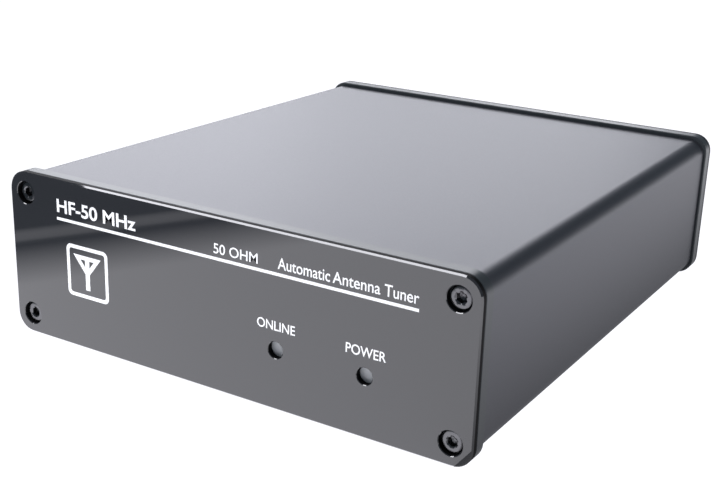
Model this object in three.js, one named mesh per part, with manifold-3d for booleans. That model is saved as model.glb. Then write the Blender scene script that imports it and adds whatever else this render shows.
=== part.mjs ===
// Automatic antenna tuner in an extruded aluminium case: a tube closed at both ends by a moulded frame
// and a thin panel, four socket-cap screws through each end, two indicator lights on the front and the
// coaxial, supply, control and ground connections on the rear.
// Millimetres. +X to the right seen from the front, front panel towards -Y, +Z up.
// The origin is the middle of the footprint, on the surface that the tuner stands on.

import * as THREE from 'three';
import { mergeVertices } from 'three/addons/utils/BufferGeometryUtils.js';
import Module from 'manifold-3d';

const wasm = await Module();
wasm.setup();

// Driving dimensions: the case.
const WIDTH = 182;              // across the end frames
const HEIGHT = 59;              // of the end frames, which the tuner stands on
const CASE_DEPTH = 210;         // front panel face to rear panel face
const END_RADIUS = 6.8;         // corners of the frames and panels
const FRONT_PANEL = 2.2;        // panel thicknesses
const REAR_PANEL = 1.5;
const FRAME = 4.8;              // frame thickness, along the depth
const FRAME_SIDE_BAR = 12.5;    // width of the frame's upright bars, which hold the screws
const FRAME_LONG_BAR = 5;       // and of its top and bottom bars
const TUBE_STEP_X = 1.0;        // how far the tube lies inside the frame's outline
const TUBE_STEP_Z = 1.6;
const TUBE_RADIUS = 5.8;
const WALL = 2.0;
const SEAM = 0.1;               // between parts that are screwed or pushed together

// Driving dimensions: case screws, M4 socket cap.
const SCREW_INSET = 7.3;        // from the frame's edges
const COUNTERBORE = 4.0;        // radii and lengths from here on
const HEAD_RADIUS = 3.5;
const HEAD_HEIGHT = 4.0;
const HEAD_SINK = 1.2;          // head top below the panel's face
const HEX_RADIUS = 1.73;        // 3 mm hexagon, across corners
const HEX_DEPTH = 2.2;
const SHANK_RADIUS = 2.0;
const SHANK_HOLE = 2.15;
const SHANK_LENGTH = 16;

// Driving dimensions: front indicator lights.
const LIGHTS = [['online', 21.9], ['power', 54.2]];
const LIGHT_Z = HEIGHT / 2 - 9.2;
const LIGHT_HOLE = 2.8;
const LENS_RADIUS = 3.4;
const LENS_DEPTH = 1.6;

// Driving dimensions: circuit board and its slots in the tube.
const BOARD = 1.6;
const BOARD_Z = 14.0;           // underside
const SLOT_PLAY = 0.1;
const RAIL_REACH = 4;
const RAIL = 1.5;

// Driving dimensions: coaxial sockets, 5/8 inch thread on a 25.4 mm flange.
const SOCKET_REACH = 15;        // how far they stand out behind the rear panel
const SOCKETS = [['antenna', 58], ['radio', 22]];
const FLANGE = 25.4;
const FLANGE_THICK = 2.2;
const FLANGE_HOLE_PITCH = 18.2;
const BARREL_RADIUS = 7.9;
const SPIGOT_RADIUS = 7.2;      // behind the flange, through the panel
const SOCKET_BORE = 5.6;
const SOCKET_MOUTH = 5.5;       // depth of the open recess at the outer end
const CONTACT_RADIUS = 2.9;
const CONTACT_BORE = 2.0;
const SOCKET_INSIDE = 4;        // how far they reach into the case, from the panel's inner face

// Driving dimensions: other rear fittings.
const DC_X = -62;
const CONTROL_X = -38;
const GROUND_X = -10;
const STUD_RADIUS = 2.0;        // M4
const STUD_REACH = 14.2;
const STUD_NUT = 3.2;
const WASHER = 0.9;
const WING_NUT_HEIGHT = 3.4;

const MID_Z = HEIGHT / 2;
const FRONT = -(CASE_DEPTH + SOCKET_REACH) / 2;
const REAR = FRONT + CASE_DEPTH;
const TUBE_FRONT = FRONT + FRONT_PANEL + FRAME + SEAM;
const TUBE_REAR = REAR - REAR_PANEL - FRAME - SEAM;
const BOARD_TOP = BOARD_Z + BOARD;
const FINE = 16;                // sides of a round part

const finishes = {
  gloss_black: { color: 0x1b1b1e, roughness: 0.18, metalness: 0.0 },
  satin_black: { color: 0x2a2b2f, roughness: 0.5, metalness: 0.2 },
  anodised: { color: 0x55565c, roughness: 0.48, metalness: 0.7 },
  black_steel: { color: 0x2e2e31, roughness: 0.35, metalness: 0.8 },
  nickel: { color: 0xc9c7c0, roughness: 0.25, metalness: 1.0 },
  brass: { color: 0xc2a05a, roughness: 0.3, metalness: 1.0 },
  copper: { color: 0xb5683f, roughness: 0.35, metalness: 1.0 },
  diffuser: { color: 0xb9bbbd, roughness: 0.55, metalness: 0.0 },
  clear: { color: 0xdfe6ea, roughness: 0.1, metalness: 0.0 },
  white_plastic: { color: 0xe9e7e0, roughness: 0.45, metalness: 0.0 },
  black_plastic: { color: 0x202022, roughness: 0.5, metalness: 0.0 },
  board_green: { color: 0x1f5a3a, roughness: 0.4, metalness: 0.0 },
  relay_blue: { color: 0x2f4f86, roughness: 0.45, metalness: 0.0 },
  ferrite_red: { color: 0x9b3b2c, roughness: 0.55, metalness: 0.0 },
  ceramic_tan: { color: 0xb98a4e, roughness: 0.5, metalness: 0.0 },
};

const tuner = new THREE.Group();
tuner.name = 'antenna_tuner';

function add(name, finish, geometry) {
  const mesh = new THREE.Mesh(geometry, new THREE.MeshStandardMaterial(finishes[finish]));
  mesh.name = name;
  tuner.add(mesh);
  return mesh;
}

// ---- Solids: joining and cutting ---------------------------------------------------------------

function solid(geometry) {
  const bare = geometry.clone();
  bare.deleteAttribute('normal');
  bare.deleteAttribute('uv');
  const merged = mergeVertices(bare, 1e-4);
  const corners = [];
  for (let i = 0; i < merged.index.count; i += 3) {
    const [a, b, c] = [0, 1, 2].map((k) => merged.index.getX(i + k));
    if (a !== b && b !== c && c !== a) corners.push(a, b, c);
  }
  const vertProperties = new Float32Array(merged.attributes.position.array);
  return new wasm.Manifold(new wasm.Mesh({ numProp: 3, vertProperties, triVerts: new Uint32Array(corners) }));
}

function geometryOf(body) {
  const mesh = body.getMesh();
  const geometry = new THREE.BufferGeometry();
  geometry.setAttribute('position', new THREE.BufferAttribute(new Float32Array(mesh.vertProperties), 3));
  geometry.setIndex(new THREE.BufferAttribute(new Uint32Array(mesh.triVerts), 1));
  geometry.computeVertexNormals();
  return geometry;
}

function join(...geometries) {
  return geometryOf(geometries.map(solid).reduce((whole, piece) => whole.add(piece)));
}

function cut(geometry, ...tools) {
  return geometryOf(tools.map(solid).reduce((whole, tool) => whole.subtract(tool), solid(geometry)));
}

// ---- Shapes ------------------------------------------------------------------------------------

// A rounded rectangle about a centre, drawn in the upright X-Z plane.
function roundedRect(width, height, radius, x = 0, z = 0) {
  const [hw, hh] = [width / 2 - radius, height / 2 - radius];
  const shape = new THREE.Shape();
  shape.absarc(x + hw, z + hh, radius, 0, Math.PI / 2);
  shape.absarc(x - hw, z + hh, radius, Math.PI / 2, Math.PI);
  shape.absarc(x - hw, z - hh, radius, Math.PI, 1.5 * Math.PI);
  shape.absarc(x + hw, z - hh, radius, 1.5 * Math.PI, 2 * Math.PI);
  shape.closePath();
  return shape;
}

function ringOfPoints(radius, x, z, sides) {
  return Array.from({ length: sides }, (_, i) => {
    const angle = (2 * Math.PI * i) / sides;
    return new THREE.Vector2(x + radius * Math.cos(angle), z + radius * Math.sin(angle));
  });
}

function circle(radius, x = 0, z = 0, sides = FINE) {
  return new THREE.Shape(ringOfPoints(radius, x, z, sides));
}

// A hole's sides lie outside its radius, so that a round part of that radius fits through it.
function hole(radius, x = 0, z = 0, sides = 12) {
  return new THREE.Path(ringOfPoints(radius / Math.cos(Math.PI / sides), x, z, sides));
}

// Extrudes an X-Z outline along the depth, from yFront towards the rear.
function slab(shape, yFront, depth, curveSegments = 5) {
  const geometry = new THREE.ExtrudeGeometry(shape, { depth, bevelEnabled: false, curveSegments });
  return geometry.rotateX(Math.PI / 2).translate(0, yFront + depth, 0);
}

// Extrudes an X-Y outline upwards from zBottom.
function tower(shape, zBottom, height, curveSegments = 5) {
  const geometry = new THREE.ExtrudeGeometry(shape, { depth: height, bevelEnabled: false, curveSegments });
  return geometry.translate(0, 0, zBottom);
}

// A round bar along the depth.
function rod(radius, x, z, yFront, length, sides = FINE) {
  return new THREE.CylinderGeometry(radius, radius, length, sides).translate(x, yFront + length / 2, z);
}

// Turns a profile of [radius, y] points about an axis along the depth. The profile runs anticlockwise,
// so that the faces point outwards.
function turned(points, x, z, sides = FINE) {
  const profile = points.map(([radius, y]) => new THREE.Vector2(radius, y));
  if (THREE.ShapeUtils.isClockWise(profile)) profile.reverse();
  return new THREE.LatheGeometry(profile, sides).translate(x, 0, z);
}

// A six-sided bar along the depth.
function hexBar(radius, x, z, yFront, length) {
  return new THREE.CylinderGeometry(radius, radius, length, 6).translate(x, yFront + length / 2, z);
}

const screwPlaces = [
  ['upper_left', -1, 1],
  ['upper_right', 1, 1],
  ['lower_left', -1, -1],
  ['lower_right', 1, -1],
].map(([name, sx, sz]) => ({
  name,
  x: sx * (WIDTH / 2 - SCREW_INSET),
  z: MID_Z + sz * (HEIGHT / 2 - SCREW_INSET),
}));

// ---- Case: panels, frames and tube -------------------------------------------------------------

function frontPanel() {
  const outline = roundedRect(WIDTH, HEIGHT, END_RADIUS, 0, MID_Z);
  screwPlaces.forEach(({ x, z }) => outline.holes.push(hole(COUNTERBORE, x, z)));
  LIGHTS.forEach(([, x]) => outline.holes.push(hole(LIGHT_HOLE, x, LIGHT_Z)));
  return slab(outline, FRONT, FRONT_PANEL, 6);
}

// One moulding serves both ends: seat is the depth of its screw counterbores from the panel's side.
function endFrame(yFront, panelSide, seat) {
  const outline = roundedRect(WIDTH, HEIGHT, END_RADIUS, 0, MID_Z);
  const opening = [WIDTH - 2 * FRAME_SIDE_BAR, HEIGHT - 2 * FRAME_LONG_BAR];
  outline.holes.push(roundedRect(opening[0], opening[1], 3, 0, MID_Z));
  screwPlaces.forEach(({ x, z }) => outline.holes.push(hole(SHANK_HOLE, x, z)));
  const seatFront = panelSide < 0 ? yFront - 1 : yFront + FRAME - seat;
  const seats = screwPlaces.map(({ x, z }) => rod(COUNTERBORE - 0.2, x, z, seatFront, seat + 1));
  return cut(slab(outline, yFront, FRAME), ...seats);
}

// The tube's inside: four solid corners for the screws and a slot each side for the board.
function tubeCavity() {
  const wallX = WIDTH / 2 - TUBE_STEP_X - WALL;
  const floor = TUBE_STEP_Z + WALL;
  const roof = HEIGHT - floor;
  const cornerX = WIDTH / 2 - SCREW_INSET - 4.6;
  const slotLow = BOARD_Z - SLOT_PLAY;
  const slotHigh = BOARD_TOP + 2 * SLOT_PLAY;
  const upperCorner = HEIGHT - SCREW_INSET - 4.6;
  const right = [
    [cornerX, floor],
    [cornerX, slotLow],
    [wallX, slotLow],
    [wallX, slotHigh],
    [wallX - RAIL_REACH, slotHigh],
    [wallX - RAIL_REACH, slotHigh + RAIL],
    [wallX, slotHigh + RAIL],
    [wallX, upperCorner],
    [cornerX, upperCorner],
    [cornerX, roof],
  ];
  const left = right.map(([x, z]) => [-x, z]).reverse();
  return new THREE.Path([...right, ...left].map(([x, z]) => new THREE.Vector2(x, z)));
}

function caseTube() {
  const outline = roundedRect(
    WIDTH - 2 * TUBE_STEP_X, HEIGHT - 2 * TUBE_STEP_Z, TUBE_RADIUS, 0, MID_Z,
  );
  outline.holes.push(tubeCavity());
  screwPlaces.forEach(({ x, z }) => outline.holes.push(hole(SHANK_HOLE, x, z)));
  return slab(outline, TUBE_FRONT, TUBE_REAR - TUBE_FRONT);
}

function rearPanel() {
  const outline = roundedRect(WIDTH, HEIGHT, END_RADIUS, 0, MID_Z);
  screwPlaces.forEach(({ x, z }) => outline.holes.push(hole(COUNTERBORE, x, z)));
  SOCKETS.forEach(([, x]) => {
    outline.holes.push(hole(SPIGOT_RADIUS + SEAM, x, MID_Z));
    flangeScrewPlaces(x).forEach((place) => outline.holes.push(hole(1.6, place.x, place.z)));
  });
  outline.holes.push(hole(4.1, DC_X, MID_Z));
  outline.holes.push(hole(3.1, CONTROL_X, MID_Z));
  outline.holes.push(hole(SHANK_HOLE, GROUND_X, MID_Z));
  return slab(outline, REAR - REAR_PANEL, REAR_PANEL, 6);
}

// ---- Case screws -------------------------------------------------------------------------------

// outer is the head's end face, dir the way the screw points into the case.
function capScrew(x, z, outer, dir) {
  const shoulder = 0.5;
  const profile = [
    [0, 0],
    [HEAD_RADIUS - shoulder, 0],
    [HEAD_RADIUS, shoulder],
    [HEAD_RADIUS, HEAD_HEIGHT],
    [SHANK_RADIUS, HEAD_HEIGHT],
    [SHANK_RADIUS, HEAD_HEIGHT + SHANK_LENGTH],
    [0, HEAD_HEIGHT + SHANK_LENGTH],
  ].map(([radius, y]) => [radius, outer + dir * y]);
  const socketFront = dir > 0 ? outer - 1 : outer - HEX_DEPTH;
  return cut(turned(profile, x, z), hexBar(HEX_RADIUS, x, z, socketFront, HEX_DEPTH + 1));
}

// ---- Indicator lights --------------------------------------------------------------------------

const LENS_BACK = FRONT + FRONT_PANEL + SEAM + LENS_DEPTH;
const LED_RADIUS = 2.5;
const LED_LENGTH = 6;
const INDICATOR_BOARD_FRONT = LENS_BACK + SEAM + LED_LENGTH + SEAM;

// A round-nosed lamp body with a collar at its foot.
function led(x) {
  const foot = INDICATOR_BOARD_FRONT - SEAM;
  const nose = foot - LED_LENGTH;
  return turned([
    [0, foot],
    [LED_RADIUS + 0.4, foot],
    [LED_RADIUS + 0.4, foot - 1],
    [LED_RADIUS, foot - 1],
    [LED_RADIUS, nose + 1.8],
    [LED_RADIUS * 0.75, nose + 0.6],
    [0, nose],
  ], x, LIGHT_Z, 14);
}

function indicatorBoard() {
  const middle = (LIGHTS[0][1] + LIGHTS[1][1]) / 2;
  return slab(roundedRect(48, 13, 1, middle, LIGHT_Z), INDICATOR_BOARD_FRONT, BOARD, 3);
}

// A flat cable from the indicator board down to the main board.
function indicatorCable() {
  const x = LIGHTS[0][1] - 12;
  const start = INDICATOR_BOARD_FRONT + BOARD + SEAM;
  const side = new THREE.Shape([
    [start, LIGHT_Z + 1],
    [start, LIGHT_Z],
    [start + 8, LIGHT_Z],
    [start + 8, BOARD_TOP + SEAM],
    [start + 9, BOARD_TOP + SEAM],
    [start + 9, LIGHT_Z + 1],
  ].map(([y, z]) => new THREE.Vector2(y, z)));
  const width = 8;
  const ribbon = new THREE.ExtrudeGeometry(side, { depth: width, bevelEnabled: false });
  return ribbon.applyMatrix4(new THREE.Matrix4().set(
    0, 0, 1, x,
    1, 0, 0, 0,
    0, 1, 0, 0,
    0, 0, 0, 1,
  ));
}

// ---- Coaxial sockets ---------------------------------------------------------------------------

const FLANGE_FRONT = REAR + SEAM;
const SOCKET_END = REAR + SOCKET_REACH;
const SPIGOT_FRONT = REAR - REAR_PANEL - SOCKET_INSIDE;

function flangeScrewPlaces(x) {
  const half = FLANGE_HOLE_PITCH / 2;
  return [[-1, 1], [1, 1], [-1, -1], [1, -1]].map(([sx, sz]) => ({ x: x + sx * half, z: MID_Z + sz * half }));
}

function socketBody(x) {
  const flange = roundedRect(FLANGE, FLANGE, 1.5, x, MID_Z);
  flange.holes.push(hole(SPIGOT_RADIUS - 0.5, x, MID_Z));
  flangeScrewPlaces(x).forEach((place) => flange.holes.push(hole(1.6, place.x, place.z)));
  const barrel = turned([
    [SOCKET_BORE, SPIGOT_FRONT],
    [SOCKET_BORE, SOCKET_END],
    [BARREL_RADIUS - 0.5, SOCKET_END],
    [BARREL_RADIUS, SOCKET_END - 0.6],
    [BARREL_RADIUS, FLANGE_FRONT + FLANGE_THICK / 2],
    [SPIGOT_RADIUS, FLANGE_FRONT + FLANGE_THICK / 2],
    [SPIGOT_RADIUS, SPIGOT_FRONT],
    [SOCKET_BORE, SPIGOT_FRONT],
  ], x, MID_Z, 24);
  return join(slab(flange, FLANGE_FRONT, FLANGE_THICK, 4), barrel);
}

function socketInsulator(x) {
  const face = SOCKET_END - SOCKET_MOUTH;
  return turned([
    [CONTACT_RADIUS + SEAM, SPIGOT_FRONT + 1],
    [CONTACT_RADIUS + SEAM, face],
    [SOCKET_BORE - SEAM, face],
    [SOCKET_BORE - SEAM, SPIGOT_FRONT + 1],
    [CONTACT_RADIUS + SEAM, SPIGOT_FRONT + 1],
  ], x, MID_Z);
}

// The centre contact: a sleeve that takes the plug's pin, with a solder tail inside the case.
function socketContact(x) {
  const end = SOCKET_END - SOCKET_MOUTH + 0.4;
  const tail = SPIGOT_FRONT - 5;
  return turned([
    [0, tail],
    [1.3, tail],
    [1.3, SPIGOT_FRONT],
    [CONTACT_RADIUS, SPIGOT_FRONT + 1],
    [CONTACT_RADIUS, end],
    [CONTACT_BORE, end],
    [CONTACT_BORE, end - 9],
    [0, end - 9],
  ], x, MID_Z, 16);
}

// Pan-head machine screw through the flange and the rear panel.
function flangeScrew(x, z) {
  const seat = FLANGE_FRONT + FLANGE_THICK + SEAM;
  const body = turned([
    [0, REAR - REAR_PANEL - 4],
    [1.5, REAR - REAR_PANEL - 4],
    [1.5, seat],
    [2.7, seat],
    [2.7, seat + 1],
    [1.9, seat + 1.8],
    [0, seat + 1.8],
  ], x, z, 12);
  const slotAcross = new THREE.BoxGeometry(3.2, 2, 0.7).translate(x, seat + 1.9, z);
  const slotUp = new THREE.BoxGeometry(0.7, 2, 3.2).translate(x, seat + 1.9, z);
  return cut(body, join(slotAcross, slotUp));
}

// ---- Supply, control and ground connections ----------------------------------------------------

// A panel socket: a collar outside, a sleeve through the panel and a body inside, bored from the rear.
function panelSocket(x, collar, sleeve, bore, boreDepth) {
  const face = REAR + 2.6;
  const inside = REAR - REAR_PANEL - SEAM;
  return turned([
    [0, inside - 9],
    [collar, inside - 9],
    [collar, inside],
    [sleeve, inside],
    [sleeve, REAR + SEAM],
    [collar, REAR + SEAM],
    [collar, face - 0.5],
    [collar - 0.5, face],
    [bore, face],
    [bore, face - boreDepth],
    [0, face - boreDepth],
  ], x, MID_Z);
}

function supplyPin() {
  const foot = REAR + 2.6 - 9.5 + SEAM;
  return turned([
    [0, foot],
    [1.0, foot],
    [1.0, REAR + 1.4],
    [0.6, REAR + 1.9],
    [0, REAR + 1.9],
  ], DC_X, MID_Z, 12);
}

function groundStud() {
  const headInside = 2.4;
  const inner = REAR - REAR_PANEL - SEAM;
  return join(
    hexBar(4.0, GROUND_X, MID_Z, inner - headInside, headInside),
    rod(STUD_RADIUS, GROUND_X, MID_Z, inner - 0.5, REAR + STUD_REACH - inner + 0.5, 16),
  );
}

function groundNut() {
  const outer = hexBar(4.04, GROUND_X, MID_Z, REAR + SEAM, STUD_NUT);
  return cut(outer, rod(SHANK_HOLE, GROUND_X, MID_Z, REAR, STUD_NUT + 1, 16));
}

const WASHER_FRONT = REAR + 2 * SEAM + STUD_NUT;
const WING_FRONT = WASHER_FRONT + WASHER + SEAM;

function groundWasher() {
  const outline = circle(4.5, GROUND_X, MID_Z);
  outline.holes.push(hole(SHANK_HOLE + 0.1, GROUND_X, MID_Z));
  return slab(outline, WASHER_FRONT, WASHER);
}

// A tapered hub with two upright wings, drawn across X and spread outwards towards the rear.
function wingNut() {
  const hub = turned([
    [0, WING_FRONT],
    [4.2, WING_FRONT],
    [3.4, WING_FRONT + WING_NUT_HEIGHT],
    [0, WING_FRONT + WING_NUT_HEIGHT],
  ], 0, 0);
  const wing = new THREE.Shape();
  wing.moveTo(2.6, WING_FRONT + 0.2);
  wing.lineTo(4.2, WING_FRONT + 0.2);
  wing.quadraticCurveTo(10, WING_FRONT + 1.2, 10.2, WING_FRONT + 5.6);
  wing.absarc(8.6, WING_FRONT + 5.8, 1.6, 0, Math.PI);
  wing.quadraticCurveTo(6.4, WING_FRONT + 3.6, 2.6, WING_FRONT + WING_NUT_HEIGHT - 0.2);
  wing.closePath();
  const thick = 1.8;
  const right = new THREE.ExtrudeGeometry(wing, { depth: thick, bevelEnabled: false, curveSegments: 4 })
    .translate(0, 0, -thick / 2);
  const left = right.clone().rotateY(Math.PI);
  const hole = rod(SHANK_HOLE, 0, 0, WING_FRONT - 1, WING_NUT_HEIGHT + 2, 16);
  return cut(join(hub, right, left), hole).translate(GROUND_X, 0, MID_Z);
}

// ---- Inside: board, relays, inductors and the rest ---------------------------------------------

function mainBoard() {
  const width = WIDTH - 2 * (TUBE_STEP_X + WALL + 0.3);
  const front = INDICATOR_BOARD_FRONT + BOARD + 2;
  const rear = TUBE_REAR - 4;
  const board = roundedRect(width, rear - front, 1, 0, (front + rear) / 2);
  return tower(board, BOARD_Z, BOARD, 2);
}

// A part with a rounded box shape, standing on the board.
function boardBlock(x, y, width, length, height, radius = 0.6) {
  return tower(roundedRect(width, length, radius, x, y), BOARD_TOP + SEAM, height, 2);
}

// A wound ring core, lying flat on the board.
function ringCore(x, y, outer, inner, height) {
  const shape = circle(outer, x, y);
  shape.holes.push(hole(inner, x, y));
  return tower(shape, BOARD_TOP + SEAM, height);
}

function boardCan(x, y, radius, height) {
  return tower(circle(radius, x, y), BOARD_TOP + SEAM, height);
}

// A lead from a coaxial socket's solder tail down to the board.
function lead(x) {
  const tail = SPIGOT_FRONT - 5 - 0.3;
  const path = new THREE.CatmullRomCurve3([
    new THREE.Vector3(x, tail, MID_Z),
    new THREE.Vector3(x, tail - 2.5, MID_Z - 0.6),
    new THREE.Vector3(x, tail - 4.4, MID_Z - 4),
    new THREE.Vector3(x, tail - 4.6, BOARD_TOP + 0.3),
  ]);
  return new THREE.ExtrudeGeometry(circle(0.9, 0, 0, 8), { extrudePath: path, steps: 8 });
}

// ---- Assembly ----------------------------------------------------------------------------------

add('front_panel', 'gloss_black', frontPanel());
add('front_frame', 'satin_black', endFrame(
  FRONT + FRONT_PANEL + SEAM, -1, HEAD_SINK + HEAD_HEIGHT - FRONT_PANEL,
).translate(0, -SEAM / 2, 0));
add('case_tube', 'anodised', caseTube());
add('rear_frame', 'satin_black', endFrame(
  REAR - REAR_PANEL - FRAME, 1, HEAD_SINK + HEAD_HEIGHT - REAR_PANEL,
).translate(0, -SEAM / 2, 0));
add('rear_panel', 'satin_black', rearPanel());

screwPlaces.forEach(({ name, x, z }) => {
  add(`front_screw_${name}`, 'black_steel', capScrew(x, z, FRONT + HEAD_SINK, 1));
  add(`rear_screw_${name}`, 'black_steel', capScrew(x, z, REAR - HEAD_SINK, -1));
});

LIGHTS.forEach(([name, x]) => {
  add(`${name}_light_window`, 'diffuser', rod(LENS_RADIUS, x, LIGHT_Z, LENS_BACK - LENS_DEPTH, LENS_DEPTH));
  add(`${name}_led`, 'clear', led(x));
});
add('indicator_board', 'board_green', indicatorBoard());
add('indicator_cable', 'black_plastic', indicatorCable());

SOCKETS.forEach(([name, x]) => {
  add(`${name}_socket_body`, 'nickel', socketBody(x));
  add(`${name}_socket_insulator`, 'white_plastic', socketInsulator(x));
  add(`${name}_socket_contact`, 'brass', socketContact(x));
  add(`${name}_lead`, 'copper', lead(x));
  flangeScrewPlaces(x).forEach((place, i) => {
    add(`${name}_socket_screw_${i + 1}`, 'nickel', flangeScrew(place.x, place.z));
  });
});

add('supply_socket', 'black_plastic', panelSocket(DC_X, 5.6, 4.0, 2.8, 9.5));
add('supply_socket_pin', 'nickel', supplyPin());
add('control_socket', 'nickel', panelSocket(CONTROL_X, 4.5, 3.0, 1.8, 11));
add('ground_stud', 'nickel', groundStud());
add('ground_stud_nut', 'nickel', groundNut());
add('ground_washer', 'nickel', groundWasher());
add('ground_wing_nut', 'nickel', wingNut());

add('main_board', 'board_green', mainBoard());
for (let i = 0; i < 3; i += 1) {
  const y = FRONT + 62 + 32 * i;
  add(`inductor_${i + 1}`, 'ferrite_red', ringCore(-60, y, 14, 7, 11));
  add(`inductor_relay_${i + 1}`, 'relay_blue', boardBlock(-30, y, 10, 20, 11));
  add(`capacitor_relay_${i + 1}`, 'relay_blue', boardBlock(20, y, 10, 20, 11));
}
for (let i = 0; i < 2; i += 1) {
  add(`tuning_capacitor_${i + 1}`, 'ceramic_tan', boardBlock(48, FRONT + 70 + 40 * i, 18, 8, 12));
}
add('coupler_core', 'ferrite_red', ringCore(40, REAR - 40, 8, 4, 8));
add('microcontroller', 'black_plastic', boardBlock(-20, FRONT + 36, 12, 12, 1.6, 0.3));
add('filter_capacitor', 'black_plastic', boardCan(-58, FRONT + 32, 5, 14));

export default tuner;
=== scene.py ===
"""Automatic antenna tuner in an extruded aluminium case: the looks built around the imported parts.

The camera, the lights and the table are placed in metres. The pieces' sizes are millimetres in the
part's own frame and go through MM. +X is to the right seen from the front, the front panel faces -Y
and +Z is up.
"""
import math

import bmesh
import bpy
from mathutils import Matrix, Vector


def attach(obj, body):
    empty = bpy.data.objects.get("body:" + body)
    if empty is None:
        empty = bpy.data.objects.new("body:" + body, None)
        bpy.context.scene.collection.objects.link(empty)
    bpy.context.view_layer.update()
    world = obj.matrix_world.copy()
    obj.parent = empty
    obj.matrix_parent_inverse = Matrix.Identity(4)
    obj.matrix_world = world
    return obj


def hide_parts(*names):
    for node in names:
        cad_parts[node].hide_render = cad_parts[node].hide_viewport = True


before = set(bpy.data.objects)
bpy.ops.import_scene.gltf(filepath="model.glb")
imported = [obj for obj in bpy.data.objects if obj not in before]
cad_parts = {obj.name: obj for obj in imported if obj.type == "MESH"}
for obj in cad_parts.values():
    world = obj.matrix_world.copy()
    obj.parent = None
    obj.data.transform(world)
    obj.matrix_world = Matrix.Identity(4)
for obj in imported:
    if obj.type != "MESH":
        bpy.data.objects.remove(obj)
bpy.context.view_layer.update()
scene = bpy.context.scene

# ---- Camera --------------------------------------------------------------------------------------
# A long-lens view from the front right, a little above the case, with a slight lean.
CAMERA_PLACE = Vector((0.21975, -0.38868, 0.17122))
CAMERA_TOWARD = Vector((-0.49161, 0.80705, -0.32711)).normalized()
CAMERA_LEAN = math.radians(1.888)
LENS = 59.863
SENSOR = 36.0


def add_object(name, data):
    """A new object in the scene."""
    made = bpy.data.objects.new(name, data)
    scene.collection.objects.link(made)
    return made


def axes_to_matrix(right, up, back, place):
    """A placement matrix from its three axes and its origin."""
    turn = Matrix((right, up, back)).transposed().to_4x4()
    return Matrix.Translation(place) @ turn


level_right = CAMERA_TOWARD.cross(Vector((0, 0, 1))).normalized()
level_up = level_right.cross(CAMERA_TOWARD)
camera_right = level_right * math.cos(CAMERA_LEAN) + level_up * math.sin(CAMERA_LEAN)
camera_up = camera_right.cross(CAMERA_TOWARD)
camera_data = bpy.data.cameras.new("camera")
camera_data.lens = LENS
camera_data.sensor_width = SENSOR
camera_data.clip_start = 0.01
camera = add_object("camera", camera_data)
camera.matrix_world = axes_to_matrix(camera_right, camera_up, -CAMERA_TOWARD, CAMERA_PLACE)
scene.camera = camera
scene.view_settings.view_transform = "Standard"

# ---- Light and floor -----------------------------------------------------------------------------
# A white table and a softbox over the front, with a wide lit backdrop behind to the left and a weak
# fill on its left half. To the camera the room is plain white; to the object it is otherwise dim.
# The table's white ends towards the front left, with one faint strip past its edge. The table glows instead
# of being lit, and the case's shade on its right is painted into that glow: painted shade, less and less as
# it goes outwards.
AIM = Vector((0, -0.02, 0.03))
FLOOR_RADIANCE = 2.61
KEY_RADIANCE = 13.0
BACKDROP_RADIANCE = 4.6
FILL_RADIANCE = 1.4
ROOM_RADIANCE = 0.26
ROOM_SEEN = 1.05
TABLE_SEEN = 1.25
TABLE_REACH = 4.0
TABLE_END_WAY = (-0.873, -0.487, 0.0)
SHADE_START = 0.085
SHADE_END = 0.21
SHADE_LEAST = 0.2
SHADE_MOST = 1.04


def linear(hex_colour):
    """The linear RGBA of an sRGB colour written as six hex digits."""
    parts = [int(hex_colour[i:i + 2], 16) / 255 for i in (0, 2, 4)]
    return (*[c / 12.92 if c <= 0.04045 else ((c + 0.055) / 1.055) ** 2.4 for c in parts], 1.0)


def add_node(tree, kind, inputs=None, **settings):
    """Adds a node, sets its properties, and links or sets each named input."""
    node = tree.nodes.new(kind)
    for key, value in settings.items():
        setattr(node, key, value)
    for key, value in (inputs or {}).items():
        if isinstance(value, bpy.types.NodeSocket):
            tree.links.new(value, node.inputs[key])
        else:
            node.inputs[key].default_value = value
    return node


def softbox(name, toward, along, distance, width, height, radiance):
    """A rectangular light towards a direction from the aim point, its width running along a vector."""
    back = Vector(toward).normalized()
    side = (Vector(along) - back * Vector(along).dot(back)).normalized()
    data = bpy.data.lights.new(name, "AREA")
    data.shape = "RECTANGLE"
    data.size = width
    data.size_y = height
    data.energy = radiance * math.pi * width * height
    data.color = COOL_WHITE[:3]
    light = add_object(name, data)
    light.matrix_world = axes_to_matrix(side, back.cross(side), back, AIM + back * distance)
    light.visible_camera = False


COOL_WHITE = linear("F4F4FA")
softbox("key", (-0.43, -0.41, 0.83), (0.91, -0.15, 0.38), 1.02, 0.74, 0.34, KEY_RADIANCE)
softbox("backdrop", (-0.68, 0.60, 0.51), (0.66, 0.75, 0.0), 1.3, 1.9, 0.76, BACKDROP_RADIANCE)
softbox("fill", (-0.80, 0.50, 0.46), (0.53, 0.85, 0.0), 1.28, 1.0, 0.74, FILL_RADIANCE)

world = bpy.data.worlds.new("room")
scene.world = world
world.use_nodes = True
room = world.node_tree
seen = add_node(room, "ShaderNodeLightPath")
dim = add_node(room, "ShaderNodeBackground", {"Color": linear("C8DCEC"), "Strength": ROOM_RADIANCE})
white = add_node(room, "ShaderNodeBackground", {"Color": linear("FFFFFF"), "Strength": ROOM_SEEN})
either = add_node(room, "ShaderNodeMixShader", {
    0: seen.outputs["Is Camera Ray"], 1: dim.outputs["Background"], 2: white.outputs["Background"]})
room.links.new(either.outputs["Shader"], room.nodes["World Output"].inputs["Surface"])

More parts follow.
